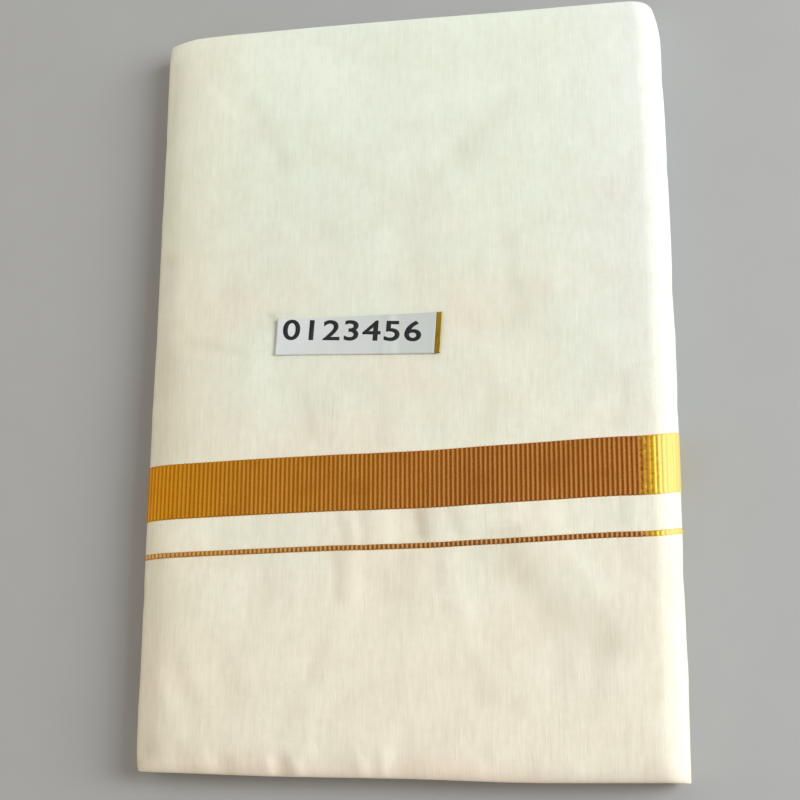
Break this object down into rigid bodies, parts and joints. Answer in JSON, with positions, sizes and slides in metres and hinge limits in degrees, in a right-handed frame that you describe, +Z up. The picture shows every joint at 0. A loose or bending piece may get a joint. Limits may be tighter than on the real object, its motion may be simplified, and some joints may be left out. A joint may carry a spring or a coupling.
{
  "type": "folded dhoti cloth",
  "caption": "Fine cotton dhoti folded into a flat rectangular pack, with a ribbed metallic border band and line wrapped round it and a paper size label.",
  "frame": {"origin": "centre of the flat underside, at the bottom of the bounding box", "axes": "+X from the double-lipped left side to the rolled spine on the right, +Y along the pack away from the end nearer the border, +Z up"},
  "size_m": [0.2413, 0.3592, 0.0198],
  "materials": {
    "cotton": "fine plain-woven ivory cotton, soft and matt",
    "inner_cotton": "the same cotton where the inner layers show at the edges",
    "zari": "woven metallic gold thread in fine ribs, glinting",
    "label_paper": "thin cool-white self-adhesive paper, slightly creased",
    "label_foil": "printed dull gold strip"
  },
  "bodies": {
    "root": {"upper_cloth": "cotton", "middle_cloth": "cotton", "lower_cloth": "cotton", "zari_band": "zari", "zari_line": "zari", "folded_layers": "inner_cotton", "size_label": "label_paper", "label_strip": "label_foil"}
  },
  "joints": []
}
